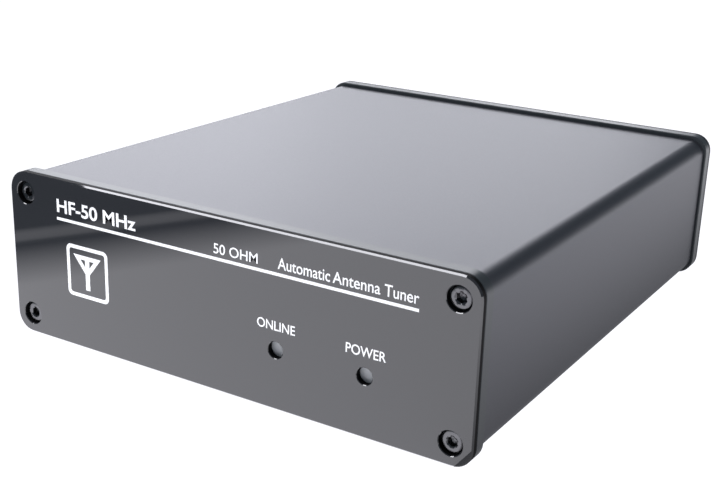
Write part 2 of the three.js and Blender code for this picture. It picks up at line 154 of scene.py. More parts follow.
table = bpy.data.materials.new("table")
table.use_nodes = True
nodes = table.node_tree
nodes.nodes.remove(nodes.nodes["Principled BSDF"])
place = add_node(nodes, "ShaderNodeTexCoord")
outward = add_node(nodes, "ShaderNodeVectorMath", {
    0: place.outputs["Object"], 1: TABLE_END_WAY}, operation="DOT_PRODUCT")
edge = add_node(nodes, "ShaderNodeValToRGB", {"Fac": outward.outputs["Value"]})
stops = edge.color_ramp.elements
stops[0].position = 0.0
stops[0].color = (0.93, 0.93, 0.93, 1)
stops[1].position = 0.175
stops[1].color = (1, 1, 1, 1)
for position, level in ((0.222, 0.0), (0.226, 0.0), (0.231, 0.3), (0.240, 0.3), (0.246, 0.0)):
    stops.new(position).color = (level, level, level, 1)
beside = add_node(nodes, "ShaderNodeSeparateXYZ", {"Vector": place.outputs["Object"]})
# Painted shade: the table's glow is turned down on the case's right, rising again outwards.
shade = add_node(nodes, "ShaderNodeMapRange", {
    "Value": beside.outputs["X"], "From Min": SHADE_START, "From Max": SHADE_END,
    "To Min": FLOOR_RADIANCE * SHADE_LEAST, "To Max": FLOOR_RADIANCE * SHADE_MOST})
table_seen = add_node(nodes, "ShaderNodeLightPath")
left_of = add_node(nodes, "ShaderNodeMath", {
    0: beside.outputs["X"], 1: SHADE_START}, operation="LESS_THAN")
full = add_node(nodes, "ShaderNodeMapRange", {
    "Value": left_of.outputs["Value"], "To Min": shade.outputs["Result"], "To Max": FLOOR_RADIANCE})
glow = add_node(nodes, "ShaderNodeMapRange", {
    "Value": table_seen.outputs["Is Camera Ray"], "To Min": full.outputs["Result"],
    "To Max": TABLE_SEEN})
lit = add_node(nodes, "ShaderNodeEmission", {"Color": COOL_WHITE, "Strength": glow.outputs["Result"]})
clear = add_node(nodes, "ShaderNodeBsdfTransparent")
cover = add_node(nodes, "ShaderNodeMixShader", {
    0: edge.outputs["Color"], 1: clear.outputs["BSDF"], 2: lit.outputs["Emission"]})
nodes.links.new(cover.outputs["Shader"], nodes.nodes["Material Output"].inputs["Surface"])
floor_mesh = bpy.data.meshes.new("floor")
table_corners = [(sx * TABLE_REACH, sy * TABLE_REACH, 0) for sx, sy in ((-1, -1), (1, -1), (1, 1), (-1, 1))]
floor_mesh.from_pydata(table_corners, [], [(0, 1, 2, 3)])
floor_mesh.materials.append(table)
add_object("floor", floor_mesh)

# ---- Front panel ---------------------------------------------------------------------------------
# A 2.2 mm sheet of polished black acrylic with small cut and polished chamfers. Four counterbore
# holes let the screw heads through and two smaller ones show the indicator lights.
MM = 0.001
WIDTH = 182.0
HEIGHT = 59.0
MID_Z = HEIGHT / 2
CORNER = 6.8
FRONT = -112.5
INK = 0.05
FACE = FRONT + INK
PANEL_BACK = -110.3
SCREWS = [(sx * 83.7, MID_Z + sz * 22.2) for sx in (-1, 1) for sz in (1, -1)]
SCREW_HOLE = 4.0
LIGHTS = [(21.9, 20.3), (54.2, 20.3)]
LIGHT_HOLE = 2.8


# Every finish is procedural, in object coordinates. All pieces keep their objects at the origin, so
# a pattern's scale is a real size.
def surface(name, colour, roughness, grain, depth, spread, metallic=0.0, ior=1.5, stretch=(1, 1, 1),
            transmission=0.0):
    """A Principled finish. grain is its pattern's size and depth the pattern's height, in mm."""
    material = bpy.data.materials.new(name)
    material.use_nodes = True
    tree = material.node_tree
    shader = tree.nodes["Principled BSDF"]
    shader.inputs["Base Color"].default_value = linear(colour)
    shader.inputs["Metallic"].default_value = metallic
    shader.inputs["Roughness"].default_value = roughness
    shader.inputs["IOR"].default_value = ior
    shader.inputs["Transmission Weight"].default_value = transmission
    where = add_node(tree, "ShaderNodeTexCoord")
    placed = add_node(tree, "ShaderNodeMapping", {"Vector": where.outputs["Object"], "Scale": stretch})
    noise = add_node(tree, "ShaderNodeTexNoise", {
        "Vector": placed.outputs["Vector"], "Scale": 1 / (grain * MM), "Detail": 3.0})
    rough = add_node(tree, "ShaderNodeMapRange", {
        "Value": noise.outputs["Fac"], "To Min": roughness - spread, "To Max": roughness + spread})
    bump = add_node(tree, "ShaderNodeBump", {
        "Height": noise.outputs["Fac"], "Distance": depth * MM, "Strength": 1.0})
    tree.links.new(rough.outputs["Result"], shader.inputs["Roughness"])
    tree.links.new(bump.outputs["Normal"], shader.inputs["Normal"])
    return material


# Outlines are functions of how far their edge is drawn back into the material, so that chamfers and
# counterbores follow from the same curve.
def rounded(width, height, radius, x=0.0, z=MID_Z, steps=8):
    """An upright rounded rectangle, drawn back all round by the amount it is called with."""
    def outline(drawn=0.0):
        corner = max(radius - drawn, 0.05)
        half = (width / 2 - drawn - corner, height / 2 - drawn - corner)
        points = []
        for quarter, (sx, sz) in enumerate(((1, 1), (-1, 1), (-1, -1), (1, -1))):
            for step in range(steps + 1):
                angle = math.pi / 2 * (quarter + step / steps)
                points.append((x + sx * half[0] + corner * math.cos(angle),
                               z + sz * half[1] + corner * math.sin(angle)))
        return points
    return outline


def bore(radius, x, z, steps=48):
    """A round hole, which widens as its edge is drawn back into the material."""
    def outline(drawn=0.0):
        reach = radius + drawn
        return [(x + reach * math.cos(2 * math.pi * i / steps),
                 z + reach * math.sin(2 * math.pi * i / steps)) for i in range(steps)]
    return outline


def chamfered(front, back, size, back_size=None):
    """The levels of an outline whose front and back edges are chamfered."""
    other = size if back_size is None else back_size
    return [(size, front), (0, front + size), (0, back - other), (other, back)]


def skin(bm, loops):
    """Joins each loop of vertices to the next by a band of faces."""
    for near, far in zip(loops, loops[1:]):
        for i in range(len(near)):
            j = (i + 1) % len(near)
            bm.faces.new((near[i], near[j], far[j], far[i]))


def plate(bm, contours):
    """A solid along the depth. Each contour is an outline and its (drawn back, y) levels, front to back."""
    ends = ([], [])
    for outline, levels in contours:
        loops = [[bm.verts.new((x, y, z)) for x, z in outline(drawn)] for drawn, y in levels]
        skin(bm, loops)
        for end, loop in zip(ends, (loops[0], loops[-1])):
            end.extend(bm.edges.get(pair) for pair in zip(loop, loop[1:] + loop[:1]))
    for end in ends:
        bmesh.ops.triangle_fill(bm, edges=end, use_beauty=True)
    bmesh.ops.recalc_face_normals(bm, faces=bm.faces)


def mesh_of(name, bm, material, smooth=38):
    """The mesh of a bmesh in millimetres, smooth but for its sharper edges."""
    bmesh.ops.transform(bm, matrix=Matrix.Scale(MM, 4), verts=bm.verts)
    mesh = bpy.data.meshes.new(name)
    bm.to_mesh(mesh)
    bm.free()
    mesh.materials.append(material)
    mesh.shade_smooth()
    mesh.set_sharp_from_angle(angle=math.radians(smooth))
    return mesh


def show(name, mesh, stands_for=(), body="tuner"):
    """A finished piece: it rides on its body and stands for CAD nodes."""
    piece = add_object(name, mesh)
    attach(piece, body)
    if stands_for:
        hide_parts(*stands_for)


# Cast black acrylic, laser cut and flame polished: almost a mirror, with faint waviness.
black_acrylic = surface("black_acrylic", "242427", roughness=0.035, ior=1.62, grain=60, depth=0.02,
                        spread=0.01)
# The same sheet's outer edge and hole walls, drawn near black and with almost no reflection, so that they
# stay dark.
cut_edge = surface("cut_edge", "0C0C0D", roughness=0.6, ior=1.12, grain=0.3, depth=0.01, spread=0.05)
bm = bmesh.new()
plate(bm, [
    (rounded(WIDTH, HEIGHT, CORNER), chamfered(FACE, PANEL_BACK, 0.5, 0.1)),
    *[(bore(SCREW_HOLE, x, z), chamfered(FACE, PANEL_BACK, 0.22, 0.1)) for x, z in SCREWS],
    *[(bore(LIGHT_HOLE, x, z), chamfered(FACE, PANEL_BACK, 0.18, 0.1)) for x, z in LIGHTS],
])
for face in bm.faces:
    if abs(face.normal.y) < 0.1:
        face.material_index = 1
panel_mesh = mesh_of("front_panel_drawn", bm, black_acrylic)
panel_mesh.materials.append(cut_edge)
show("front_panel_drawn", panel_mesh, ["front_panel"])

# ---- Printing ------------------------------------------------------------------------------------
# White screen-printed ink on the panel: generic words, a rule across the top and, in a rounded
# square, the drafting symbol for an antenna.
film = [(0, FRONT), (0, FACE)]

# Matt white screen ink, a thin even film.
white_ink = surface("white_ink", "FAFAFA", roughness=0.55, ior=1.45, grain=0.3, depth=0.004, spread=0.05)


def applied(holder):
    """The mesh of an object as it stands, modifiers and all. The object goes."""
    bpy.context.view_layer.update()
    depsgraph = bpy.context.evaluated_depsgraph_get()
    mesh = bpy.data.meshes.new_from_object(holder.evaluated_get(depsgraph), depsgraph=depsgraph)
    mesh.name = holder.name
    bpy.data.objects.remove(holder)
    return mesh


def letters(text, weight=0.0):
    """The vertices and faces of a line of text in the built-in font, one unit high and 2 thick."""
    curve = bpy.data.curves.new("letters", "FONT")
    curve.body = text
    curve.extrude = 1.0
    curve.offset = weight
    flat = applied(add_object("letters", curve))
    points = [tuple(vert.co) for vert in flat.vertices]
    faces = [tuple(face.vertices) for face in flat.polygons]
    bpy.data.meshes.remove(flat)
    bpy.data.curves.remove(curve)
    return points, faces


CAP = max(point[1] for point in letters("H")[0])


def print_text(bm, text, left, right, baseline, height, weight=0.006):
    """Prints a line between two x values, measured from the panel's middle, with this cap height."""
    points, faces = letters(text, weight)
    low = min(point[0] for point in points)
    high = max(point[0] for point in points)
    verts = []
    for across, up, out in points:
        x = left + (across - low) / (high - low) * (right - left)
        verts.append(bm.verts.new((x, FACE if out < 0 else FRONT, MID_Z + baseline + up / CAP * height)))
    for face in faces:
        bm.faces.new([verts[i] for i in face])


def polygon(points):
    """A straight-sided outline that is never drawn back."""
    return lambda drawn=0.0: points


def print_line(bm, start, end, width):
    """Prints a straight stroke between two (x, z) points measured from the panel's middle."""
    way = (Vector(end) - Vector(start)).normalized() * (width / 2)
    side = Vector((-way.y, way.x))
    corners = [Vector(start) - side, Vector(end) - side, Vector(end) + side, Vector(start) + side]
    points = [(p.x, MID_Z + p.y) for p in corners]
    plate(bm, [(polygon(points), film)])


bm = bmesh.new()
print_text(bm, "HF-50 MHz", -69.0, -33.9, 18.3, 4.4, 0.02)
print_text(bm, "50 OHM", -1.9, 15.1, 17.7, 3.2)
print_text(bm, "Automatic", 22.6, 41.4, 17.75, 3.6)
print_text(bm, "Antenna", 42.3, 58.6, 17.75, 3.6)
print_text(bm, "Tuner", 60.0, 71.3, 17.75, 3.6)
print_text(bm, "ONLINE", 15.0, 29.2, -2.55, 3.0)
print_text(bm, "POWER", 47.5, 61.4, -2.9, 3.1)
print_line(bm, (-69.2, 15.9), (71.4, 15.9), 1.0)
MARK_X = -56.15
MARK_Z = MID_Z - 1.3
plate(bm, [
    (rounded(18.6, 18.6, 2.0, MARK_X, MARK_Z), film),
    (rounded(16.0, 16.0, 1.0, MARK_X, MARK_Z), film),
])
# The symbol is a mast that runs up through an open triangle standing on its point.
STROKE = 1.5
MAST = 0.95
TRIANGLE = 6.2
top = MARK_Z + 6.0
point = MARK_Z - 1.6
slope = (top - point) / TRIANGLE
inset = STROKE * math.hypot(1, 1 / slope)
gaps = [polygon([(MARK_X + side * MAST, point + (MAST + inset) * slope),
                 (MARK_X + side * ((top - STROKE - point) / slope - inset), top - STROKE),
                 (MARK_X + side * MAST, top - STROKE)]) for side in (-1, 1)]
triangle = polygon([(MARK_X - TRIANGLE, top), (MARK_X, point), (MARK_X + TRIANGLE, top)])
plate(bm, [(triangle, film), *[(gap, film) for gap in gaps]])
plate(bm, [(polygon([(MARK_X - MAST, MARK_Z - 6.2), (MARK_X + MAST, MARK_Z - 6.2),
                     (MARK_X + MAST, point + MAST * slope), (MARK_X, point),
                     (MARK_X - MAST, point + MAST * slope)]), film)])
show("front_panel_printing", mesh_of("front_panel_printing", bm, white_ink))

# ---- End frames ----------------------------------------------------------------------------------
# Like mouldings close both ends of the tube. Each screw head sits in a round seat, which is a little
# deeper at the rear, and the outer edges are eased.
FRONT_FRAME = (-110.25, -105.45)
REAR_FRAME = (91.15, 95.95)
SEAT = 3.8
FRONT_SEAT_DEPTH = 3.0
REAR_SEAT_DEPTH = 3.7
SHANK_HOLE = 2.15

# Glass-filled black nylon, moulded in a lightly textured tool: satin, with a soft sheen.
frame_plastic = surface("frame_plastic", "33373A", roughness=0.34, ior=1.3, grain=0.6, depth=0.002,
                        spread=0.04)


def stand_in(node, bm, material, body="tuner", smooth=38):
    """Shows a bmesh as the piece that stands for one CAD node."""
    name = node + "_drawn"
    show(name, mesh_of(name, bm, material, smooth), [node], body)


def end_frame(name, front, back, panel_side):
    """A frame between two depths. The screws' seats open towards panel_side."""
    if panel_side < 0:
        floor = front + FRONT_SEAT_DEPTH
        seats = [(0, front), (0, floor), (SHANK_HOLE - SEAT, floor), (SHANK_HOLE - SEAT, back)]
    else:
        floor = back - REAR_SEAT_DEPTH
        seats = [(SHANK_HOLE - SEAT, front), (SHANK_HOLE - SEAT, floor), (0, floor), (0, back)]
    bm = bmesh.new()
    plate(bm, [
        (rounded(WIDTH, HEIGHT, CORNER), chamfered(front, back, 0.35)),
        (rounded(WIDTH - 25, HEIGHT - 10, 3), [(0, front), (0, back)]),
        *[(bore(SEAT, x, z), seats) for x, z in SCREWS],
    ])
    stand_in(name, bm, frame_plastic)


end_frame("front_frame", *FRONT_FRAME, -1)
end_frame("rear_frame", *REAR_FRAME, 1)

# ---- Case tube -----------------------------------------------------------------------------------
# One aluminium extrusion: rounded corners outside, and inside solid corners for the screws and a
# slot each side for the circuit board.
TUBE_WIDTH = 180
TUBE_HEIGHT = 55.8
TUBE_FRONT = -105.4
TUBE_REAR = 91.1

# Extruded 6063 aluminium, bead blasted and black anodised: a fine even grain, barely drawn out
# along the tube.
anodised = surface("anodised", "3C3D43", metallic=0.55, roughness=0.45, grain=0.3, depth=0.014,
                   spread=0.04, stretch=(1, 0.6, 1))


def tube_inside():
    """The tube's cavity, from its floor's right end up that side, across and down the other."""
    right = [(79.1, 3.6), (79.1, 13.9), (88, 13.9), (88, 15.8), (84, 15.8), (84, 17.3), (88, 17.3),
             (88, 47.1), (79.1, 47.1), (79.1, 55.4)]
    return right + [(-x, z) for x, z in reversed(right)]


bm = bmesh.new()
plate(bm, [
    (rounded(TUBE_WIDTH, TUBE_HEIGHT, 5.8, steps=12), chamfered(TUBE_FRONT, TUBE_REAR, 0.15)),
    (polygon(tube_inside()), [(0, TUBE_FRONT), (0, TUBE_REAR)]),
    *[(bore(SHANK_HOLE, x, z, 24), [(0, TUBE_FRONT), (0, TUBE_REAR)]) for x, z in SCREWS],
])
stand_in("case_tube", bm, anodised)

# ---- Rear panel ----------------------------------------------------------------------------------
# A 1.5 mm aluminium sheet, punched for the sockets and the ground stud. Four case screws hold it
# against the rear frame.
REAR = 97.5
SHEET_FRONT = 96.0
SOCKETS = [("antenna", 58.0), ("radio", 22.0)]
SUPPLY_X = -62.0
CONTROL_X = -38.0
GROUND_X = -10.0
HOLE_PITCH = 18.2


def flange_holes(x):
    """The four fixing places of a coaxial socket's flange."""
    return [(x + sx * HOLE_PITCH / 2, MID_Z + sz * HOLE_PITCH / 2)
            for sx, sz in ((-1, 1), (1, 1), (-1, -1), (1, -1))]


# Rolled aluminium sheet, satin etched and black anodised: dark, its grain drawn along the rolling.
panel_metal = surface("panel_metal", "222327", metallic=0.25, roughness=0.5, grain=0.4, depth=0.004,
                      spread=0.05, stretch=(0.3, 1, 1))
bm = bmesh.new()
sheet = chamfered(SHEET_FRONT, REAR, 0.1, 0.3)
burred = chamfered(SHEET_FRONT, REAR, 0.08)
punched = [(7.3, x, MID_Z) for _, x in SOCKETS] + [(1.6, *at) for _, x in SOCKETS for at in flange_holes(x)]
punched += [(4.1, SUPPLY_X, MID_Z), (3.1, CONTROL_X, MID_Z), (2.15, GROUND_X, MID_Z)]
plate(bm, [
    (rounded(WIDTH, HEIGHT, CORNER), sheet),
    *[(bore(SCREW_HOLE, x, z), sheet) for x, z in SCREWS],
    *[(bore(radius, x, z, 32), burred) for radius, x, z in punched],
])
stand_in("rear_panel", bm, panel_metal)

# ---- Case screws ---------------------------------------------------------------------------------
# M4 x 20 socket cap screws, four at each end: a chamfered head with a 3 mm hexagon socket, whose
# mouth is countersunk, and a rolled thread.
M4_RADIUS = 2.0
M4_PITCH = 0.7
HEAD_DEPTH = 1.2
HEX_FLATS = 3.0
HEX_MOUTH = 2.05

# Alloy steel with a black oxide coat, lightly oiled: dark metal with bright edges.
black_oxide = surface("black_oxide", "58585A", metallic=1.0, roughness=0.24, grain=0.6, depth=0.004,
                      spread=0.07)


def thread_rows(radius, depth, pitch, start, end, per_pitch=8):
    """Profile rows of a screw thread: (radius, y, depth of the groove at this row, pitch)."""
    count = max(2, round(abs(end - start) / pitch * per_pitch))
    rows = []
    for k in range(count + 1):
        y = start + (end - start) * k / count
        fade = min(1.0, abs(y - start) / pitch, abs(end - y) / pitch)
        rows.append((radius, y, depth * fade, pitch))
    return rows


def turned(bm, profile, x, z, steps=48, closed=False):
    """Turns (radius, y) rows about an axis along the depth. A thread_rows row is grooved as a helix."""
    loops = []
    for row in profile:
        radius, y = row[:2]
        if radius < 1e-6:
            loops.append([bm.verts.new((x, y, z))])
            continue
        loop = []
        for i in range(steps):
            reach = radius
            if len(row) == 4:
                phase = (y / row[3] - i / steps) % 1
                reach -= row[2] * min(1, max(0, (abs(2 * phase - 1) - 0.1) / 0.8))
            angle = 2 * math.pi * i / steps
            loop.append(bm.verts.new((x + reach * math.cos(angle), y, z + reach * math.sin(angle))))
        loops.append(loop)
    pairs = list(zip(loops, loops[1:]))
    if closed:
        pairs.append((loops[-1], loops[0]))
    for near, far in pairs:
        for i in range(steps):
            j = (i + 1) % steps
            corners = [near[i % len(near)], near[j % len(near)], far[j % len(far)], far[i % len(far)]]
            bm.faces.new(list(dict.fromkeys(corners)))
    bmesh.ops.recalc_face_normals(bm, faces=bm.faces)


def hexagon_reach(across_flats, angle):
    """How far a hexagon's edge is from its middle at an angle."""
    from_flat = (angle + math.pi / 6) % (math.pi / 3) - math.pi / 6
    return across_flats / 2 / math.cos(from_flat)


def cap_screw_mesh(name, material):
    """A cap screw with its head's top at the origin, pointing along +Y."""
    bm = bmesh.new()
    steps = 48
    turned(bm, [(HEX_MOUTH, 0), (3.0, 0), (3.35, 0.12), (3.5, 0.4), (3.5, 4.0), (2.3, 4.0),
                (M4_RADIUS, 4.3), *thread_rows(M4_RADIUS, 0.42, M4_PITCH, 5.0, 19.4, per_pitch=5),
                (1.6, 20.0), (0, 20.0)], 0, 0, steps)
    mouth = [vert for vert in bm.verts
             if abs(vert.co.y) < 1e-6 and vert.co.xz.length < HEX_MOUTH + 0.05]
    mouth.sort(key=lambda vert: math.atan2(vert.co.z, vert.co.x) % (2 * math.pi))
    loops = [mouth]
    for shrink, depth in ((1.0, 0.3), (1.0, 2.1), (0.55, 2.2)):
        loop = []
        for i in range(steps):
            angle = 2 * math.pi * i / steps
            reach = hexagon_reach(HEX_FLATS * shrink, angle)
            loop.append(bm.verts.new((reach * math.cos(angle), depth, reach * math.sin(angle))))
        loops.append(loop)
    bottom = bm.verts.new((0, 2.6, 0))
    skin(bm, loops)
    for i in range(steps):
        bm.faces.new((loops[-1][i], loops[-1][(i + 1) % steps], bottom))
    bmesh.ops.recalc_face_normals(bm, faces=bm.faces)
    return mesh_of(name, bm, material, smooth=30)


def new_tree(name, inputs):
    """A geometry-nodes tree with these (name, socket type) inputs, and its named input sockets."""
    tree = bpy.data.node_groups.new(name, "GeometryNodeTree")
    tree.interface.new_socket("Geometry", in_out="OUTPUT", socket_type="NodeSocketGeometry")
    for key, kind in [("Geometry", "NodeSocketGeometry")] + inputs:
        tree.interface.new_socket(key, in_out="INPUT", socket_type=kind)
    given = tree.nodes.new("NodeGroupInput").outputs
    return tree, given


def end_tree(tree, instances, material):
    """Makes the copies real, gives them their material and sends them out."""
    real = add_node(tree, "GeometryNodeRealizeInstances", {"Geometry": instances})
    coated = add_node(tree, "GeometryNodeSetMaterial", {
        "Geometry": real.outputs["Geometry"], "Material": material})
    add_node(tree, "NodeGroupOutput", {"Geometry": coated.outputs["Geometry"]})


def grow(name, tree, points, values):
    """The mesh that a tree makes from points in millimetres and values for its named inputs."""
    seed = bpy.data.meshes.new(name)
    seed.from_pydata([Vector(point) * MM for point in points], [], [])
    holder = add_object(name, seed)
    modifier = holder.modifiers.new("grow", "NODES")
    modifier.node_group = tree
    for item in tree.interface.items_tree:
        if item.in_out == "INPUT" and item.name in values:
            modifier[item.identifier] = values[item.name]
    return applied(holder)


# This tree sets a copy of an item at each point.
repeat, given = new_tree("copies at points", [
    ("Item", "NodeSocketObject"), ("Turn", "NodeSocketVector"), ("Material", "NodeSocketMaterial")])
item = add_node(repeat, "GeometryNodeObjectInfo", {"Object": given["Item"]})
copies = add_node(repeat, "GeometryNodeInstanceOnPoints", {
    "Points": given["Geometry"], "Instance": item.outputs["Geometry"], "Rotation": given["Turn"]})
end_tree(repeat, copies.outputs["Instances"], given["Material"])


def copies_of(name, item_mesh, points, material, turn=(0.0, 0.0, 0.0)):
    """A mesh with a copy of item_mesh at each point."""
    sample = add_object(name + "_item", item_mesh)
    mesh = grow(name, repeat, points, {"Item": sample, "Turn": turn, "Material": material})
    bpy.data.objects.remove(sample)
    return mesh


screw = cap_screw_mesh("cap_screw", black_oxide)
corner_names = ("upper_left", "upper_right", "lower_left", "lower_right")
for end, y, turn in (("front", FRONT + HEAD_DEPTH, 0.0), ("rear", REAR - HEAD_DEPTH, math.pi)):
    name = end + "_screws_drawn"
    places = [(x, y, z) for x, z in SCREWS]
    show(name, copies_of(name, screw, places, black_oxide, (0.0, 0.0, turn)),
         [f"{end}_screw_{corner}" for corner in corner_names])

# ---- Indicator lights ----------------------------------------------------------------------------
# Two frosted windows behind the panel's holes. Behind each stands a 5 mm lamp on the small board,
# whose flat cable drops to the main board.
WINDOW_FRONT = -110.2
LAMP_FOOT = -102.5

# Opal acrylic, sanded on both sides: a soft, even grey, its colour lightened as painted light that fills in
# the shade inside its hole.
frosted = surface("frosted", "9C9EA1", roughness=0.36, ior=1.49, grain=0.5, depth=0.004, spread=0.05)
# Clear epoxy, cast in a polished mould: glassy.
lamp_epoxy = surface("lamp_epoxy", "E8EEF0", roughness=0.05, ior=1.55, transmission=0.85, grain=3,
                     depth=0.004, spread=0.02)
# Glass-epoxy laminate with green solder resist over copper: a half gloss, a little wavy.
resist = surface("resist", "12502E", roughness=0.32, grain=0.8, depth=0.01, spread=0.06)
# Black PVC ribbon, extruded: smooth and dull.
ribbon_vinyl = surface("ribbon_vinyl", "17171A", roughness=0.42, grain=0.8, depth=0.02, spread=0.05)
for name, (x, z) in zip(("online", "power"), LIGHTS):
    bm = bmesh.new()
    turned(bm, [(0, WINDOW_FRONT), (3.2, WINDOW_FRONT), (3.4, WINDOW_FRONT + 0.2),
                (3.4, WINDOW_FRONT + 1.4), (3.2, WINDOW_FRONT + 1.6), (0, WINDOW_FRONT + 1.6)], x, z)
    stand_in(name + "_light_window", bm, frosted)
    bm = bmesh.new()
    turned(bm, [(0, LAMP_FOOT - 6), (0.9, LAMP_FOOT - 5.9), (1.7, LAMP_FOOT - 5.4), (2.25, LAMP_FOOT - 4.7),
                (2.5, LAMP_FOOT - 3.9), (2.5, LAMP_FOOT - 1), (2.9, LAMP_FOOT - 0.95), (2.9, LAMP_FOOT),
                (0, LAMP_FOOT)], x, z)
    stand_in(name + "_led", bm, lamp_epoxy)
bm = bmesh.new()
plate(bm, [(rounded(48, 13, 1, 38.05, LIGHTS[0][1]), chamfered(-102.4, -100.8, 0.05))])
stand_in("indicator_board", bm, resist)
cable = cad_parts["indicator_cable"]
cable.data.materials.clear()
cable.data.materials.append(ribbon_vinyl)

# ---- Coaxial sockets -----------------------------------------------------------------------------
# Two flanged sockets with a 5/8 inch thread. Each holds a white insulator and a hollow centre
# contact, and four small cross-slot screws fix the flange.
FLANGE_SIDE = 25.4
FLANGE_FRONT = REAR + 0.1
FLANGE_BACK = REAR + 2.3
SPIGOT_FRONT = 92.0
SOCKET_END = REAR + 15
SOCKET_THREAD = 1.058
CROSS_REACH = 1.5
CROSS_HALF = 0.32

# Die-cast and turned brass under satin nickel plate: warm, with blurred reflections.
nickel = surface("nickel", "C9C5BC", metallic=1.0, roughness=0.24, grain=1.5, depth=0.004, spread=0.06)
# Turned PTFE: white, waxy, with faint tool marks.
ptfe = surface("ptfe", "E9E7E0", roughness=0.42, ior=1.35, grain=0.4, depth=0.004, spread=0.05)
# Silver-plated brass, gone warm with age.
contact_metal = surface("contact_metal", "CDB27A", metallic=1.0, roughness=0.28, grain=1.0, depth=0.003,
                        spread=0.06)
# Drawn copper wire under clear enamel: a warm gloss.
copper = surface("copper", "B8683C", metallic=1.0, roughness=0.26, grain=0.8, depth=0.003, spread=0.05)


def wire(name, points, radius, material):
    """A round wire through points, smoothed, as a mesh in metres."""
    curve = bpy.data.curves.new(name, "CURVE")
    curve.dimensions = "3D"
    curve.bevel_depth = radius * MM
    curve.bevel_resolution = 3
    curve.resolution_u = 6
    curve.use_fill_caps = True
    line = curve.splines.new("BEZIER")
    line.bezier_points.add(len(points) - 1)
    for knot, point in zip(line.bezier_points, points):
        knot.co = Vector(point) * MM
        knot.handle_left_type = knot.handle_right_type = "AUTO"
    mesh = applied(add_object(name, curve))
    mesh.materials.clear()
    mesh.materials.append(material)
    mesh.shade_smooth()
    return mesh


def carved(name, mesh, cutter):
    """The mesh that is left when the cutter's is taken out of it."""
    holder = add_object(name, mesh)
    tool = add_object(name + "_cutter", cutter)
    difference = holder.modifiers.new("carve", "BOOLEAN")
    difference.object = tool
    difference.solver = "EXACT"
    left = applied(holder)
    bpy.data.objects.remove(tool)
    left.set_sharp_from_angle(angle=math.radians(30))
    return left


bm = bmesh.new()
turned(bm, [(0, 7.9), (1.3, 7.9), (1.5, 7.7), (1.5, 0), (2.7, 0), (2.7, -0.9), (2.45, -1.35), (1.8, -1.7),
            (1.0, -1.8), (0, -1.8)], 0, 0, 32)
head = mesh_of("flange_screw", bm, nickel, smooth=30)
cross = []
arm = [(CROSS_REACH, CROSS_HALF), (CROSS_HALF, CROSS_HALF), (CROSS_HALF, CROSS_REACH)]
for _ in range(4):
    cross += arm
    arm = [(-z, x) for x, z in arm]
bm = bmesh.new()
plate(bm, [(polygon(cross), [(0, -2.5), (0, -0.8)])])
flange_screw = carved("flange_screw", head, mesh_of("cross_slot", bm, nickel))
for name, x in SOCKETS:
    bm = bmesh.new()
    plate(bm, [
        (rounded(FLANGE_SIDE, FLANGE_SIDE, 1.5, x), chamfered(FLANGE_FRONT, FLANGE_BACK, 0.1, 0.35)),
        (bore(7.0, x, MID_Z), [(0, FLANGE_FRONT), (0, FLANGE_BACK)]),
        *[(bore(1.6, *at, 24), chamfered(FLANGE_FRONT, FLANGE_BACK, 0.05, 0.15))
          for at in flange_holes(x)],
    ])
    turned(bm, [(5.6, SPIGOT_FRONT), (7.0, SPIGOT_FRONT), (7.2, SPIGOT_FRONT + 0.2), (7.2, 98.6),
                (8.4, 99.0), (8.4, FLANGE_BACK - 0.2), (7.9, FLANGE_BACK + 0.3),
                *thread_rows(7.9, 0.55, SOCKET_THREAD, FLANGE_BACK + 0.6, SOCKET_END - 0.7),
                (7.4, SOCKET_END), (6.0, SOCKET_END), (5.6, SOCKET_END - 0.4)], x, MID_Z, 72, closed=True)
    stand_in(name + "_socket_body", bm, nickel, smooth=30)
    face = SOCKET_END - 5.5
    bm = bmesh.new()
    turned(bm, [(3.0, SPIGOT_FRONT + 1), (3.0, face - 0.15), (3.15, face), (5.3, face), (5.5, face - 0.2),
                (5.5, SPIGOT_FRONT + 1)], x, MID_Z, closed=True)
    stand_in(name + "_socket_insulator", bm, ptfe)
    end = face + 0.4
    bm = bmesh.new()
    turned(bm, [(0, SPIGOT_FRONT - 5), (1.1, SPIGOT_FRONT - 5), (1.3, SPIGOT_FRONT - 4.8),
                (1.3, SPIGOT_FRONT), (2.9, SPIGOT_FRONT + 1), (2.9, end - 0.15), (2.75, end),
                (2.2, end), (2.0, end - 0.25), (2.0, end - 8.6), (0, end - 9)], x, MID_Z)
    stand_in(name + "_socket_contact", bm, contact_metal)
    tail = SPIGOT_FRONT - 5.3
    path = [(x, tail, MID_Z), (x, tail - 2.5, MID_Z - 0.6), (x, tail - 4.4, MID_Z - 4),
            (x, tail - 4.6, 16.0)]
    lead = name + "_lead"
    show(lead + "_drawn", wire(lead + "_drawn", path, 0.85, copper), [lead])
    fixings = copies_of(name + "_socket_screws_drawn", flange_screw,
                        [(at[0], FLANGE_BACK + 0.1, at[1]) for at in flange_holes(x)], nickel,
                        (math.pi, 0.0, 0.0))
    show(name + "_socket_screws_drawn", fixings,
         [f"{name}_socket_screw_{i}" for i in range(1, 5)])

# ---- Supply and control sockets ------------------------------------------------------------------
# A moulded barrel inlet with its centre pin, and a turned nickel jack for the radio's control lead.
# Each has a collar outside, a sleeve through the panel's hole and a body inside.
INSIDE = 95.9
COLLAR_FRONT = REAR + 0.1
COLLAR_FACE = REAR + 2.6

# Black thermoplastic, moulded with a fine texture: even and satin.
black_moulding = surface("black_moulding", "141416", roughness=0.38, grain=0.5, depth=0.008, spread=0.05)


